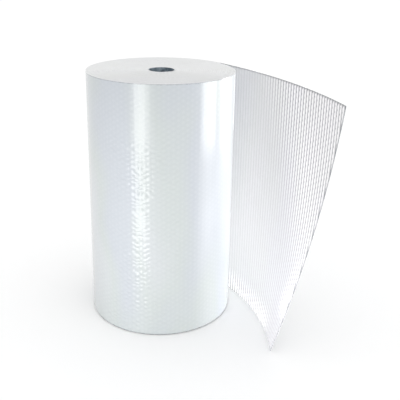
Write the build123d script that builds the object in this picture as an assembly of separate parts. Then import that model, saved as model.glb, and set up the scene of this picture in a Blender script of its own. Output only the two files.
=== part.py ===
from build123d import *
import os
from math import cos, pi, radians, sin

# A roll of air-bubble packing film, wound without a core and stood on its end.
# The origin is on the roll's axis, on the surface that it stands on, and +Z runs up the axis.
# Its turns lie tight on each other, so they are one solid. The loose end of the film, the leaf,
# leaves the roll on a tangent and stands open beside it, still a little curled.

# The roll
film_width = 500.0  # also the height of the roll as it stands
roll_diameter = 295.0
bore_diameter = 50.0  # the open middle, left by the winding spindle
film_thickness = 4.0  # backing film with its bubbles, and also the pitch of the winding

# The leaf. Its lengths are measured on its outer face, from where it leaves the roll.
leave_angle = 34.0  # degrees round the axis from +X to where the film leaves the roll
root_length = 25.0  # the first stretch, which is flat and upright
lower_length = 308.0
upper_length = 418.0  # the cut is slanted, so the upper edge is longer
lower_turn = 39.0  # degrees that the lower edge curls back towards the roll
upper_turn = 24.0
belly = 13.0  # how far the cut edge bows outwards at mid height

# The wedge between leaf and roll narrows to nothing, so it is closed where it gets this thin.
least_gap = 0.6

outer_radius = roll_diameter / 2
inner_radius = outer_radius - film_thickness  # of the turn that lies under the leaf
turn_steps = 36
leaf_steps = 8


def radial(degrees):
    """The level direction straight out from the axis at this angle."""
    return Vector(cos(radians(degrees)), sin(radians(degrees)), 0)


def onward(degrees):
    """The level direction in which the film runs on at this angle, clockwise from above."""
    return Vector(sin(radians(degrees)), -cos(radians(degrees)), 0)


def winding_radius(turned):
    """The radius of the outer face, this many degrees back along the film from the leaf."""
    return outer_radius - film_thickness * turned / 360


# The outline from above: the last turn as a spiral, and the leaf's root on its tangent.
leave_out = radial(leave_angle) * outer_radius
leave_in = radial(leave_angle) * inner_radius
root_run = onward(leave_angle) * root_length
root_out = leave_out + root_run
root_in = leave_in + root_run

# A tangent stands off a circle by about x * x / (2 * r) at the distance x.
notch_run = (2 * inner_radius * least_gap) ** 0.5
notch_angle = notch_run / inner_radius * 180 / pi
notch_leaf = leave_in + onward(leave_angle) * notch_run

turn = []
for i in range(turn_steps + 1):
    turned = (360 - notch_angle) * i / turn_steps
    turn.append(radial(leave_angle + turned) * winding_radius(turned))

root = Polyline(turn[-1], notch_leaf, root_in, root_out, leave_out)
profile = make_face([Spline(turn), *root.edges()]) - Circle(bore_diameter / 2)
wound = extrude(profile, film_width)


def edge_point(along, length, whole_turn):
    """A point of the leaf's outer face on an edge that curls evenly, from 0 at the root to 1."""
    arc_radius = (length - root_length) / radians(whole_turn)
    at = leave_angle - whole_turn * along
    return root_out + (radial(at) - radial(leave_angle)) * arc_radius


def leaf_section(along):
    """The outline of the leaf cut across, from its lower to its upper edge and back."""
    low = edge_point(along, lower_length, lower_turn)
    high = edge_point(along, upper_length, upper_turn) + Vector(0, 0, film_width)
    out = radial(leave_angle - (lower_turn + upper_turn) / 2 * along)
    bow = out * (belly * along**2)
    inwards = out * -film_thickness
    sides = Line(high, high + inwards), Line(low + inwards, low)
    if along == 0:
        return Wire([Line(low, high), sides[0], Line(high + inwards, low + inwards), sides[1]])
    outer = ThreePointArc(low, (low + high) / 2 + bow, high)
    inner = ThreePointArc(high + inwards, (low + high) / 2 + bow + inwards, low + inwards)
    return Wire([outer, sides[0], inner, sides[1]])


leaf = Solid.make_loft([leaf_section(i / leaf_steps) for i in range(leaf_steps + 1)])

bubble_film_roll = wound + leaf

os.makedirs("parts", exist_ok=True)
export_step(bubble_film_roll, "parts/bubble_film_roll.step")
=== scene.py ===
import math

import bmesh
import bpy
from mathutils import Matrix, Vector, noise


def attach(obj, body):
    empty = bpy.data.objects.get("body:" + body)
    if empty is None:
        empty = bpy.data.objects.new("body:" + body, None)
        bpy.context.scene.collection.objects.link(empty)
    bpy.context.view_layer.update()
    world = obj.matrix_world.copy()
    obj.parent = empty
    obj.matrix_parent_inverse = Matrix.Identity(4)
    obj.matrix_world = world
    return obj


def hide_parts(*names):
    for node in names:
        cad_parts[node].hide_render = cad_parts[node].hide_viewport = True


# A roll of air-bubble packing film, stood on its end with its loose end open beside it.
# Everything is in metres. The axis of the roll is Z, and the film runs on clockwise from above.

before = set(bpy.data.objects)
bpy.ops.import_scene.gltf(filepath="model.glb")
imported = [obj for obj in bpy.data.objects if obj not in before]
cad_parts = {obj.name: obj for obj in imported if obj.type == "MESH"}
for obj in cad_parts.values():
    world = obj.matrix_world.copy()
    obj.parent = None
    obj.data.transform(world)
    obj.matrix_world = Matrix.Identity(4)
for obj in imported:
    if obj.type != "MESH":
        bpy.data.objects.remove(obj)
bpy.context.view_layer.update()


def hexColour(text):  # an sRGB hex value as linear colour
    parts = [int(text[i:i + 2], 16) / 255 for i in (1, 3, 5)]
    linear = [p / 12.92 if p <= 0.04045 else ((p + 0.055) / 1.055) ** 2.4 for p in parts]
    return (*linear, 1.0)


def addNode(tree, kind, settings=None, links=None):  # links: input name -> output socket
    node = tree.nodes.new(kind)
    for name, value in (settings or {}).items():
        if name in node.inputs:
            node.inputs[name].default_value = value
        else:
            setattr(node, name, value)
    for name, source in (links or {}).items():
        tree.links.new(source, node.inputs[name])
    return node


def radial(degrees):
    return Vector((math.cos(math.radians(degrees)), math.sin(math.radians(degrees)), 0))


def onward(degrees):  # the way the film runs on at this angle
    return Vector((math.sin(math.radians(degrees)), -math.cos(math.radians(degrees)), 0))


def smoothStep(x):
    x = min(max(x, 0.0), 1.0)
    return x * x * (3 - 2 * x)


def makePiece(name, bm, material):
    mesh = bpy.data.meshes.new(name)
    bm.to_mesh(mesh)
    bm.free()
    for face in mesh.polygons:
        face.use_smooth = True
    mesh.materials.append(material)
    piece = bpy.data.objects.new(name, mesh)
    bpy.context.scene.collection.objects.link(piece)
    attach(piece, "root")
    print(f"{name}: {len(mesh.polygons)} faces")
    return piece


# Where the film lies. The roll and the leaf have the sizes of the CAD part.
film = {
    "width": 0.500,
    "thickness": 0.004,  # backing film with its bubbles, also the pitch of the winding
    "bubblePitch": 0.010,  # up the roll, from one bubble to the next in a row
    "rowSpacing": 0.00866,  # along the film, from row to row
    "bubbleHalfWidth": 0.0036,  # leaves a lane of flat film between the rows
    "neck": 0.2,  # how much narrower a row is between two of its bubbles
}

roll = {
    "outerRadius": 0.1475,
    "boreRadius": 0.025,
    "leaveAngle": 34.0,  # where the leaf leaves the roll, degrees round from +X
}

leaf = {
    "rootLength": 0.025,  # the first stretch, which is flat and upright
    "lowerLength": 0.308,
    "upperLength": 0.418,  # the cut is slanted, so the upper edge is longer
    "lowerTurn": 39.0,  # degrees that the lower edge curls back towards the roll
    "upperTurn": 24.0,
    "belly": 0.013,  # how far the cut edge bows outwards at mid height
}


def windingRadius(turned):  # of the outer face, so many degrees back along the film
    return roll["outerRadius"] - film["thickness"] * turned / 360


def woundLength(turned):  # film length from where the leaf leaves
    angle = math.radians(turned)
    return roll["outerRadius"] * angle - film["thickness"] * angle**2 / (4 * math.pi)


def turnedAt(length):  # the other way round, in degrees
    radius, pitch = roll["outerRadius"], film["thickness"]
    shrunk = radius - math.sqrt(radius**2 - length * pitch / math.pi)
    return math.degrees(2 * math.pi / pitch * shrunk)


def bubbleRelief(along, up):  # 1 over a bubble's middle, -0.5 between bubbles
    a = 2 * math.pi * along / film["rowSpacing"]
    b = 2 * math.pi * up / film["bubblePitch"]
    return (math.cos(a) + math.cos(a / 2 + b) + math.cos(b - a / 2)) / 3


def bubbleShare(along, up):  # the same as a share from 0 to 1
    return (0.5 + bubbleRelief(along, up)) / 1.5


def bubbleArch(along, up, saddle):  # 0 in the lanes between the rows, 1 on a bubble's crown
    row = math.floor(along / film["rowSpacing"])
    across = along - (row + 0.5) * film["rowSpacing"]
    step = up / film["bubblePitch"] + (0.25 if row % 2 else -0.25)  # rows stand half a pitch apart
    beside = 2 * abs(step - math.floor(step) - 0.5)  # 0 in a bubble's middle, 1 between two
    width = film["bubbleHalfWidth"] * (1 - film["neck"] * beside**3)
    arch = math.sqrt(max(0.0, 1 - (across / width)**2))
    return arch * (1 - saddle * beside**4)


leaveOut = radial(roll["leaveAngle"]) * roll["outerRadius"]
rootOut = leaveOut + onward(roll["leaveAngle"]) * leaf["rootLength"]


def leafEdge(share, length, wholeTurn):
    arcRadius = (length - leaf["rootLength"]) / math.radians(wholeTurn)
    at = roll["leaveAngle"] - wholeTurn * share
    return rootOut + (radial(at) - radial(roll["leaveAngle"])) * arcRadius


def leafLength(up):
    return leaf["lowerLength"] + (leaf["upperLength"] - leaf["lowerLength"]) * up / film["width"]


def leafPoint(along, up, depth=0.0):  # along the film from where it leaves, and depth inwards
    if along <= leaf["rootLength"]:
        at = leaveOut + onward(roll["leaveAngle"]) * along + Vector((0, 0, up))
        return at - radial(roll["leaveAngle"]) * depth
    share = (along - leaf["rootLength"]) / (leafLength(up) - leaf["rootLength"])
    rise = up / film["width"]
    low = leafEdge(share, leaf["lowerLength"], leaf["lowerTurn"])
    high = leafEdge(share, leaf["upperLength"], leaf["upperTurn"]) + Vector((0, 0, film["width"]))
    out = radial(roll["leaveAngle"] - (leaf["lowerTurn"] + leaf["upperTurn"]) / 2 * share)
    bow = 4 * rise * (1 - rise) * leaf["belly"] * share**2
    return low.lerp(high, rise) + out * (bow - depth)


# All the film is the same low-density polyethylene. It is clear, and its layers pick up soft
# patches of tint from one another.
filmLook = {
    "coolTint": "#adb1b6",
    "greenTint": "#afb4b3",
    "plainTint": "#b4b7b9",
    "tintSize": 0.12,  # metres across a patch of tint
    "tintStretch": (1.0, 1.0, 0.4),  # the patches are taller than wide
    "tintShift": (0.7, 0.2, 0.5),
    "tintRange": (0.36, 0.64),  # of the noise, between the cool and the plain tint
    "ior": 1.51,
    "rimShare": 0.2,  # on the outer turn, a painted bubble shade value under this is the painted shade line along its rim
}


def tintedFilm(tree, coords, whiteness=0.0, white="#ffffff"):
    tall = addNode(tree, "ShaderNodeMapping", {
        "Location": filmLook["tintShift"], "Scale": filmLook["tintStretch"]}, {"Vector": coords})
    patches = addNode(tree, "ShaderNodeTexNoise", {
        "Scale": 1 / filmLook["tintSize"], "Detail": 1.5, "Roughness": 0.45},
        {"Vector": tall.outputs["Vector"]})
    ramp = addNode(tree, "ShaderNodeValToRGB", links={"Fac": patches.outputs["Fac"]})
    tints = ramp.color_ramp.elements
    tints[0].position, tints[1].position = filmLook["tintRange"]
    tints[0].color = hexColour(filmLook["coolTint"])
    tints[1].color = hexColour(filmLook["plainTint"])
    tints.new(0.5).color = hexColour(filmLook["greenTint"])
    if whiteness == 0:
        return ramp.outputs["Color"]
    paler = addNode(tree, "ShaderNodeMixRGB", {"Fac": whiteness, "Color2": hexColour(white)},
                    {"Color1": ramp.outputs["Color"]})
    return paler.outputs["Color"]


# This attribute is high on a bubble's crown, a painted highlight, and falls towards 0 in the lanes
# and at the cut edges, painted shade that makes them look greyer
def bubbledFilm(tree, coords, look):
    full = addNode(tree, "ShaderNodeAttribute", {"attribute_name": "paintedBubbleShade"})
    shade = addNode(tree, "ShaderNodeValToRGB", links={"Fac": full.outputs["Fac"]})
    shades = shade.color_ramp.elements
    shades[0].color = hexColour(look["paintedLaneShade"])
    shades[1].color = hexColour("#ffffff")
    if "paintedRimShade" in look:
        shades.new(filmLook["rimShare"]).color = hexColour(look["paintedLaneShade"])
        shades[0].color = hexColour(look["paintedRimShade"])
    both = addNode(tree, "ShaderNodeMixRGB", {"blend_type": "MULTIPLY", "Fac": 1.0}, {
        "Color1": tintedFilm(tree, coords, look["whiteness"], look["white"]),
        "Color2": shade.outputs["Color"]})
    return both.outputs["Color"]


def newMaterial(name):
    material = bpy.data.materials.new(name)
    material.use_nodes = True
    tree = material.node_tree
    tree.nodes.clear()
    coords = addNode(tree, "ShaderNodeTexCoord")
    return material, tree, coords.outputs["Object"]


woundLook = {
    "whiteness": 0.0,
    "white": "#ffffff",
    "paintedLaneShade": "#f8f9fa",
    "paintedRimShade": "#b4b9bd",
    "roughness": 0.3,
    "gloss": 0.8,
    "glossRoughness": 0.16,
    "rippleSize": 0.0222,  # metres round the roll, as coarse as it needs to be to show
    "rippleStretch": (1.0, 1.0, 5.0),  # and a fifth of that up it
    "rippleHeight": 0.0006,
}

# Blown film, wound: many clear layers over air look milky, and the tight outer face is smooth
# enough for a soft gloss. Its rim at the slit edges gets a painted shade line, grey.
woundFilm, tree, coords = newMaterial("polyethyleneFilmWound")
stretched = addNode(tree, "ShaderNodeMapping", {"Scale": woundLook["rippleStretch"]}, {"Vector": coords})
ripple = addNode(tree, "ShaderNodeTexNoise", {
    "Scale": 1 / woundLook["rippleSize"], "Detail": 3.0, "Roughness": 0.6},
    {"Vector": stretched.outputs["Vector"]})
bump = addNode(tree, "ShaderNodeBump", {"Strength": 0.35, "Distance": woundLook["rippleHeight"]},
               {"Height": ripple.outputs["Fac"]})
surface = addNode(tree, "ShaderNodeBsdfPrincipled", {
    "Roughness": woundLook["roughness"], "IOR": filmLook["ior"], "Specular IOR Level": 0.25,
    "Coat Weight": woundLook["gloss"], "Coat Roughness": woundLook["glossRoughness"]}, {
    "Base Color": bubbledFilm(tree, coords, woundLook), "Normal": bump.outputs["Normal"]})
addNode(tree, "ShaderNodeOutputMaterial", links={"Surface": surface.outputs["BSDF"]})

slitLook = {"whiteness": 0.69, "roughness": 0.5}

# The same film cut across its turns: the slit edges scatter all light, with no gloss
slitFilm, tree, coords = newMaterial("polyethyleneFilmSlitEdges")
surface = addNode(tree, "ShaderNodeBsdfPrincipled", {
    "Roughness": slitLook["roughness"], "IOR": filmLook["ior"], "Specular IOR Level": 0.2},
    {"Base Color": tintedFilm(tree, coords, slitLook["whiteness"])})
addNode(tree, "ShaderNodeOutputMaterial", links={"Surface": surface.outputs["BSDF"]})

# painted shade for the bore: a dark blue-grey, paler in random patches
boreLook = {
    "paintedBoreShade": "#606d78",
    "paleShade": "#a3b0ba",
    "palePatchSize": 0.012,  # metres
    "palePatchRange": (0.4, 0.68),
    "roughness": 0.3,
}

# The innermost turn: little light gets down the bore, so its colour is painted shade, a dark
# blue-grey, paler in random noise patches
boreFilm, tree, coords = newMaterial("polyethyleneFilmBore")
palePatches = addNode(tree, "ShaderNodeTexNoise", {
    "Scale": 1 / boreLook["palePatchSize"], "Detail": 2.0, "Roughness": 0.6, "Distortion": 0.8},
    {"Vector": coords})
paintedBoreShade = addNode(tree, "ShaderNodeValToRGB", links={"Fac": palePatches.outputs["Fac"]})
shades = paintedBoreShade.color_ramp.elements
shades[0].position, shades[1].position = boreLook["palePatchRange"]
shades[0].color = hexColour(boreLook["paintedBoreShade"])
shades[1].color = hexColour(boreLook["paleShade"])
surface = addNode(tree, "ShaderNodeBsdfPrincipled", {
    "Roughness": boreLook["roughness"], "IOR": filmLook["ior"]}, {"Base Color": paintedBoreShade.outputs["Color"]})
addNode(tree, "ShaderNodeOutputMaterial", links={"Surface": surface.outputs["BSDF"]})

looseLook = {
    "whiteness": 0.6,
    "white": "#ffffff",
    "paintedLaneShade": "#c0c4c8",
    "roughness": 0.28,
    "opacity": 0.7,
}

# The backing film of the loose end is a single layer, so one sees a little through it
# its colour carries painted shade in the lanes between the bubbles, lighter over them
looseFilm, tree, coords = newMaterial("polyethyleneFilmLoose")
surface = addNode(tree, "ShaderNodeBsdfPrincipled", {
    "Roughness": looseLook["roughness"], "IOR": filmLook["ior"], "Alpha": looseLook["opacity"]}, {
    "Base Color": bubbledFilm(tree, coords, looseLook)})
addNode(tree, "ShaderNodeOutputMaterial", links={"Surface": surface.outputs["BSDF"]})

bubbleLook = {
    "whiteness": 0.5,
    "white": "#fbf5f7",
    "paintedLaneShade": "#707478",
    "roughness": 0.25,
    "gloss": 0.8,
    "glossRoughness": 0.2,
    "glow": "#d0d1d3",
    "glowShare": 0.15,  # how much of what one sees is light from behind
}

# Thermoformed bubbles: clear and glossy. A full one gets a painted highlight, and the lanes round
# it get painted shade, grey
bubbleFilm, tree, coords = newMaterial("polyethyleneFilmBubbles")
surface = addNode(tree, "ShaderNodeBsdfPrincipled", {
    "Roughness": bubbleLook["roughness"], "IOR": filmLook["ior"],
    "Coat Weight": bubbleLook["gloss"], "Coat Roughness": bubbleLook["glossRoughness"]},
    {"Base Color": bubbledFilm(tree, coords, bubbleLook)})
through = addNode(tree, "ShaderNodeBsdfTranslucent", {"Color": hexColour(bubbleLook["glow"])})
both = addNode(tree, "ShaderNodeMixShader", {"Fac": bubbleLook["glowShare"]})
tree.links.new(surface.outputs["BSDF"], both.inputs[1])
tree.links.new(through.outputs["BSDF"], both.inputs[2])
addNode(tree, "ShaderNodeOutputMaterial", links={"Surface": both.outputs["Shader"]})
print("film materials made")


outerTurn = {
    "bubbleRows": 106,  # just over one turn, so the end is tucked in where the leaf leaves
    "samples": (3, 6),  # grid cells to a bubble, along the film and up it
    "reliefHeight": 0.0006,
    "rippleHeight": 0.0003,
    "rippleWander": 1.3,
    "bubbleDrift": 0.007,  # how far the bubbles of the turns below stray from a true pattern
    "driftNoise": (5.0, 45.0, 0.0),  # how fast it changes round the roll and up it, and its start
    "tightShare": 0.08,  # of the relief that is left where the film lies tight
    "slackAngle": 252.0,  # round from +X, and again on the far side
    "slackFocus": 6,  # the power that narrows it to these two sides
    "slackShare": (0.75, 0.7),  # its mean, and how much it varies
    "slackNoise": (2.2, 10.0, 5.0),
    "calmHeight": 0.36,  # above this the bubbles show less
    "calmRun": 0.07,
    "calmShare": 0.8,
    "lowShare": 0.8,  # how much more the bubbles stand out towards the foot
    "edgeMargin": 0.006,  # no relief this near the slit edges
    "paintedRimShade": 0.003,  # and this much of them gets a painted shade line at the rim, grey
    "tuck": 0.0037,  # the end rises under the first turn, which closes the wedge
    "tuckTurn": 1.4,  # within so many degrees
}


def wallNoise(at, up, rates):
    around, tall, start = rates
    return noise.noise(Vector((at.x * around, at.y * around, up * tall + start)))


def slackness(turned, up):  # 0 where the outer turn lies tight, up to 1 where it is a little loose
    angle = roll["leaveAngle"] + turned
    mean, spread = outerTurn["slackShare"]
    patch = mean + spread * wallNoise(radial(angle), up, outerTurn["slackNoise"])
    facing = abs(math.cos(math.radians(angle - outerTurn["slackAngle"]))) ** outerTurn["slackFocus"]
    high = smoothStep((up - outerTurn["calmHeight"]) / outerTurn["calmRun"])
    return max(patch, 0.0) * facing * (1 - outerTurn["calmShare"] * high)


def wallLift(turned, up):  # how far the outer face stands off the plain spiral
    slack = slackness(turned, up)
    wander = wallNoise(radial(roll["leaveAngle"] + turned), up, outerTurn["driftNoise"])
    low = 1 + outerTurn["lowShare"] * (1 - up / film["width"])
    relief = bubbleRelief(woundLength(turned), up + outerTurn["bubbleDrift"] * wander)
    lift = outerTurn["reliefHeight"] * (outerTurn["tightShare"] + slack * low) * relief
    ripple = math.sin(2 * math.pi * (up / film["bubblePitch"] + outerTurn["rippleWander"] * wander))
    lift += outerTurn["rippleHeight"] * slack * ripple
    return lift * smoothStep(min(up, film["width"] - up) / outerTurn["edgeMargin"])


def makeOuterTurn():
    columns = outerTurn["bubbleRows"] * outerTurn["samples"][0]
    rows = round(film["width"] / film["bubblePitch"]) * outerTurn["samples"][1]
    length = outerTurn["bubbleRows"] * film["rowSpacing"]
    rimShare = filmLook["rimShare"]
    bm = bmesh.new()
    bmesh.ops.create_grid(bm, x_segments=columns, y_segments=rows, size=0.5)
    paintedBubbleShade = bm.verts.layers.float.new("paintedBubbleShade")
    for v in bm.verts:  # the flat grid is wound round the roll
        along, up = (v.co.x + 0.5) * length, (v.co.y + 0.5) * film["width"]
        # painted shade: a grey line along the rim at the slit edges, and faint painted shade in the
        # lanes between the bubbles
        paintedEdgeShade = smoothStep(min(up, film["width"] - up) / outerTurn["paintedRimShade"])
        v[paintedBubbleShade] = paintedEdgeShade * (rimShare + (1 - rimShare) * bubbleShare(along, up))
        turned = turnedAt(along)
        radius = windingRadius(turned) + wallLift(turned, up)
        radius += outerTurn["tuck"] * smoothStep((turned - 360) / outerTurn["tuckTurn"])
        v.co = radial(roll["leaveAngle"] + turned) * radius + Vector((0, 0, up))
    bm.normal_update()
    inwards = bm.faces[:][0].normal.dot(radial(roll["leaveAngle"])) < 0
    if inwards:
        bmesh.ops.reverse_faces(bm, faces=bm.faces)
    return makePiece("outer_turn", bm, woundFilm)


slitEnd = {
    "columns": 321,  # round the roll
    "samples": (0.0, 0.14, 0.3, 0.55, 0.85),  # across one turn, from its backing film inwards
    "heights": (0.0, -0.0002, -0.0011, -0.0015, -0.0009),  # how far each stands out of the end
    "scallop": 0.0005,  # where the slit ran through bubbles
    "unevenness": 0.0006,  # from turn to turn
    "unevenRun": 70.0,  # degrees from a high spot to a low one, roughly
    "unevenStart": 3.1,
    "mergeDistance": 0.00002,
}


def makeSlitEnd(name, up, facing):
    turns = math.ceil((roll["outerRadius"] - roll["boreRadius"]) / film["thickness"])
    perTurn = len(slitEnd["samples"])
    rings = turns * perTurn
    bm = bmesh.new()
    bmesh.ops.create_grid(bm, x_segments=slitEnd["columns"], y_segments=rings, size=0.5)
    for v in bm.verts:
        turned = (v.co.x + 0.5) * 360
        step = round((v.co.y + 0.5) * rings)
        turn, part = divmod(step, perTurn)
        phase = slitEnd["samples"][part]
        radius = windingRadius(turned) - film["thickness"] * (turn + phase)
        whole = turned + 360 * turn
        scallop = 0.5 + 0.5 * math.cos(2 * math.pi * woundLength(whole) / film["rowSpacing"])
        depth = slitEnd["heights"][part] - slitEnd["scallop"] * scallop * (0 < part)
        spot = Vector((whole / slitEnd["unevenRun"], slitEnd["unevenStart"], up))
        depth += slitEnd["unevenness"] * noise.noise(spot)
        if step == 0:  # flush with the outer turn's edge
            depth = 0
        radius = max(radius, roll["boreRadius"])
        v.co = radial(roll["leaveAngle"] + turned) * radius + Vector((0, 0, up + facing * depth))
    bmesh.ops.remove_doubles(bm, verts=bm.verts, dist=slitEnd["mergeDistance"])
    bmesh.ops.dissolve_degenerate(bm, edges=bm.edges, dist=slitEnd["mergeDistance"] / 2)
    for face in bm.faces:  # they face out of the end
        if face.normal.z * facing < 0:
            face.normal_flip()
    return makePiece(name, bm, slitFilm)


bore = {
    "columns": 72,
    "rows": 200,
    "bubbleRows": 18,
    "bubbleHeight": 0.0009,
    "edgeMargin": 0.004,
    "mergeDistance": 0.00001,
}


def makeBore():
    bm = bmesh.new()
    bmesh.ops.create_grid(bm, x_segments=bore["columns"], y_segments=bore["rows"], size=0.5)
    for v in bm.verts:
        angle = (v.co.x + 0.5) * 360
        up = (v.co.y + 0.5) * film["width"]
        along = (v.co.x + 0.5) * bore["bubbleRows"] * film["rowSpacing"]
        edge = smoothStep(min(up, film["width"] - up) / bore["edgeMargin"])
        lift = bore["bubbleHeight"] * (0.5 + 0.5 * bubbleRelief(along, up)) * edge
        v.co = radial(angle) * (roll["boreRadius"] - lift) + Vector((0, 0, up))
    bmesh.ops.remove_doubles(bm, verts=bm.verts, dist=bore["mergeDistance"])
    for face in bm.faces:  # the lining faces the axis
        middle = face.calc_center_median()
        if face.normal.dot(Vector((middle.x, middle.y, 0))) > 0:
            face.normal_flip()
    return makePiece("bore_lining", bm, boreFilm)


leafSheet = {
    "backingThickness": 0.0003,  # thicker than the real film, to keep its two faces apart
    "backingDent": 0.00012,  # where the bubbles pull on it
    "backingSamples": (4, 5),  # grid cells to a bubble, along the film and up it
    "bubbleSamples": (6, 6),
    "bubbleBase": 0.0005,  # clear of the backing film's inner face
    "bubbleHeight": 0.002,  # drawn at half its real height, so that the lanes still show from the side
    "saddle": 0.42,  # how deep the dip is between two bubbles of a row
    "saddleShade": 0.12,  # and how much painted shade it gets
    "edgeShade": 0.12,  # share of the painted light value left at the very edge, which paints a shade line along the cut edges
    "edgeSeal": 0.003,  # the slit and the cut press the bubbles flat this far in, and the painted edge shade reaches as far
    "pressed": 0.4,  # share of the height left where the film has only just left the roll
    "pressedShade": 0.08,  # and of the contrast of its painted lane shade
    "pressedRun": 0.1,  # and the stretch at the upper edge that has only just left it
    "pressedLean": 0.22,  # the pressed stretch is this much longer at the lower edge
    "recovery": 0.15,  # the bubbles fill up again over this length
    "edgeReach": 0.06,  # this near the cut and the lower edge they fill up sooner
    "edgeRecovery": 0.05,
    "tipRun": 0.05,  # save at the tip
}


def flatLeaf(samples):  # the leaf before it curls: X along the film, Y up it
    columns = round(leaf["upperLength"] / film["rowSpacing"] * samples[0])
    rows = round(film["width"] / film["bubblePitch"] * samples[1])
    bm = bmesh.new()
    bmesh.ops.create_grid(bm, x_segments=columns, y_segments=rows, size=0.5)
    bmesh.ops.translate(bm, vec=(0.5, 0.5, 0), verts=bm.verts)
    length = columns / samples[0] * film["rowSpacing"]
    bmesh.ops.scale(bm, vec=(length, film["width"], 1), verts=bm.verts)
    rise = Vector((leaf["upperLength"] - leaf["lowerLength"], film["width"], 0))
    bmesh.ops.bisect_plane(bm, geom=bm.verts[:] + bm.edges[:] + bm.faces[:],
                           plane_co=(leaf["lowerLength"], 0, 0), plane_no=(rise.y, -rise.x, 0),
                           clear_outer=True)
    return bm


def edgeShare(along, up, margin):  # 0 on a cut edge, 1 inside
    inside = min(up, film["width"] - up, leafLength(up) - along, along + margin)
    return smoothStep(inside / margin)


def sprungShare(along, up):  # 0 by the roll, where the bubbles are still pressed, 1 well away
    start = leafSheet["pressedRun"] + leafSheet["pressedLean"] * (1 - up / film["width"])
    middle = smoothStep((along - start) / leafSheet["recovery"])
    inside = min(leafLength(up) - along, up)
    edge = smoothStep((leafSheet["edgeReach"] - inside) / leafSheet["edgeRecovery"])
    tip = smoothStep(math.hypot(leaf["lowerLength"] - along, up) / leafSheet["tipRun"] - 1)
    return max(middle, edge * tip)


def makeLeafFilm():
    bm = flatLeaf(leafSheet["backingSamples"])
    paintedBubbleShade = bm.verts.layers.float.new("paintedBubbleShade")
    for v in bm.verts:
        along, up = v.co.x, v.co.y
        # painted shade in the lanes of the backing film, lighter over the bubbles
        v[paintedBubbleShade] = bubbleShare(along, up)
        dent = leafSheet["backingDent"] * edgeShare(along, up, leafSheet["edgeSeal"])
        v.co = leafPoint(along, up, -dent * bubbleRelief(along, up))
    bm.normal_update()
    inwards = bm.faces[:][0].normal.dot(radial(roll["leaveAngle"])) < 0
    if inwards:
        bmesh.ops.reverse_faces(bm, faces=bm.faces)
    piece = makePiece("leaf_backing", bm, looseFilm)
    wall = piece.modifiers.new("backing", "SOLIDIFY")
    wall.thickness = leafSheet["backingThickness"]
    wall.offset = -1
    return piece


def makeLeafBubbles():
    bm = flatLeaf(leafSheet["bubbleSamples"])
    paintedBubbleShade = bm.verts.layers.float.new("paintedBubbleShade")
    pressed, pressedShade = leafSheet["pressed"], leafSheet["pressedShade"]
    for v in bm.verts:
        along, up = v.co.x, v.co.y
        arch = bubbleArch(along, up, leafSheet["saddle"])
        sprung = sprungShare(along, up)
        inside = edgeShare(along, up, leafSheet["edgeSeal"])
        height = leafSheet["bubbleHeight"] * (pressed + (1 - pressed) * sprung)
        # painted light: a painted highlight on the bubbles' crowns, painted shade in the lanes and
        # saddles between them and a painted shade line along the cut edges
        clear = bubbleArch(along, up, leafSheet["saddleShade"])
        contrast = pressedShade + (1 - pressedShade) * sprung
        paintedEdgeShade = leafSheet["edgeShade"] + (1 - leafSheet["edgeShade"]) * inside
        v[paintedBubbleShade] = (0.5 + contrast * (clear - 0.5)) * paintedEdgeShade
        v.co = leafPoint(along, up, leafSheet["bubbleBase"] + height * arch * inside)
    bm.normal_update()
    outside = bm.faces[:][0].normal.dot(radial(roll["leaveAngle"])) > 0
    if outside:
        bmesh.ops.reverse_faces(bm, faces=bm.faces)
    return makePiece("leaf_bubbles", bm, bubbleFilm)


outerPiece = makeOuterTurn()
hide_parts("bubble_film_roll")
topEnd = makeSlitEnd("top_end", film["width"], 1)
bottomEnd = makeSlitEnd("bottom_end", 0.0, -1)
lining = makeBore()
leafFilm = makeLeafFilm()
leafBubbles = makeLeafBubbles()
print("roll and leaf made")

studio = {
    "floorColour": "#ffffff",
    "worldColour": "#ffffff",
    "worldStrength": 1.04,
    "floorRadius": 30,
    "floorDrop": 0.0015,  # a little under the lowest point of the uneven bottom end
    "aim": (0.03, -0.02),  # the lights face this spot of the floor, seen from above
}

# Matt white paint: it shows the soft shadow and reflects nothing sharp
floorMaterial, tree, coords = newMaterial("paintedFloor")
surface = addNode(tree, "ShaderNodeBsdfPrincipled", {
    "Base Color": hexColour(studio["floorColour"]), "Roughness": 0.9, "Specular IOR Level": 0.0})
addNode(tree, "ShaderNodeOutputMaterial", links={"Surface": surface.outputs["BSDF"]})
bm = bmesh.new()
bmesh.ops.create_circle(bm, cap_ends=True, segments=96, radius=studio["floorRadius"])
floorMesh = bpy.data.meshes.new("floor")
bm.to_mesh(floorMesh)
bm.free()
floorMesh.materials.append(floorMaterial)
floor = bpy.data.objects.new("floor", floorMesh)
floor.location.z = -studio["floorDrop"]
bpy.context.scene.collection.objects.link(floor)

world = bpy.data.worlds.new("studio")
world.use_nodes = True
world.node_tree.nodes.clear()
sky = addNode(world.node_tree, "ShaderNodeBackground", {
    "Color": hexColour(studio["worldColour"]), "Strength": studio["worldStrength"]})
addNode(world.node_tree, "ShaderNodeOutputWorld", links={"Surface": sky.outputs["Background"]})
bpy.context.scene.world = world

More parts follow.
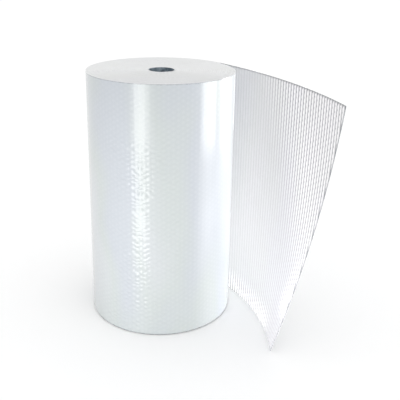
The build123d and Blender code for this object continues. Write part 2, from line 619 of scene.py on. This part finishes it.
# Name, azimuth from -Y towards +X, distance, height, width, tall, power, aim height, lit pieces.
# A box with lit pieces reaches only them, which keeps the floor even.
softBoxes = [
    ("frontLeftBox", -20, 1.3, 0.25, 0.2, 0.6, 0.9, 0.25, None),
    ("bandBox", -28, 0.49, 0.13, 0.13, 0.68, 1.35, 0.13, [outerPiece]),
    ("rightBox", 112, 1.5, 0.3, 0.5, 1.2, 24.0, 0.25, [outerPiece]),
    ("frontRightBox", 74, 1.3, 0.1, 0.6, 1.2, 13.0, 0.1, [outerPiece]),
    ("backBox", 160, 1.4, 0.3, 0.4, 1.0, 9.0, 0.25, [outerPiece, leafFilm]),
    ("leafBackBox", 80, 1.4, 0.3, 0.5, 1.0, 6.0, 0.25, [leafFilm]),
    ("leafBox", -4, 1.3, 0.25, 0.1, 1.6, 12.8, 0.25, [leafFilm, leafBubbles]),
    ("tipBox", -6, 0.45, 0.05, 0.1, 0.1, 3.2, 0.0, [leafFilm, leafBubbles]),
]
for name, azimuth, distance, height, wide, tall, power, aim, lit in softBoxes:
    data = bpy.data.lights.new(name, "AREA")
    data.shape = "RECTANGLE"
    data.size = wide
    data.size_y = tall
    data.energy = power
    box = bpy.data.objects.new(name, data)
    angle = math.radians(azimuth)
    box.location = (math.sin(angle) * distance, -math.cos(angle) * distance, height)
    target = Vector((*studio["aim"], aim))
    box.rotation_euler = (box.location - target).to_track_quat("Z", "Y").to_euler()
    bpy.context.scene.collection.objects.link(box)
    if lit:
        for kind in ("receiver", "blocker"):
            group = bpy.data.collections.new(f"{name}_{kind}")
            for piece in lit:
                group.objects.link(piece)
            setattr(box.light_linking, f"{kind}_collection", group)

camera = {
    "place": (0.0, -1.24565, 0.72545),
    "azimuth": 0.0628,  # radians, to the right of +Y
    "pitch": 0.3180,
    "roll": 0.0185,
    "lens": 57.947,
    "shift": -0.1,  # of the frame's width
}
cameraData = bpy.data.cameras.new("camera")
cameraData.lens = camera["lens"]
cameraData.sensor_width = 36.0
cameraData.shift_y = camera["shift"]
cameraObject = bpy.data.objects.new("camera", cameraData)
forward = Vector((math.sin(camera["azimuth"]) * math.cos(camera["pitch"]),
                  math.cos(camera["azimuth"]) * math.cos(camera["pitch"]), -math.sin(camera["pitch"])))
rightward = forward.cross(Vector((0, 0, 1))).normalized()
upward = rightward.cross(forward)
cosRoll, sinRoll = math.cos(camera["roll"]), math.sin(camera["roll"])
rolledRight = rightward * cosRoll + upward * sinRoll
rolledUp = upward * cosRoll - rightward * sinRoll
cameraObject.matrix_world = Matrix.Translation(camera["place"]) @ Matrix(
    (rolledRight, rolledUp, -forward)).transposed().to_4x4()
bpy.context.scene.collection.objects.link(cameraObject)
bpy.context.scene.camera = cameraObject
bpy.context.scene.view_settings.view_transform = "Standard"
print("studio set")
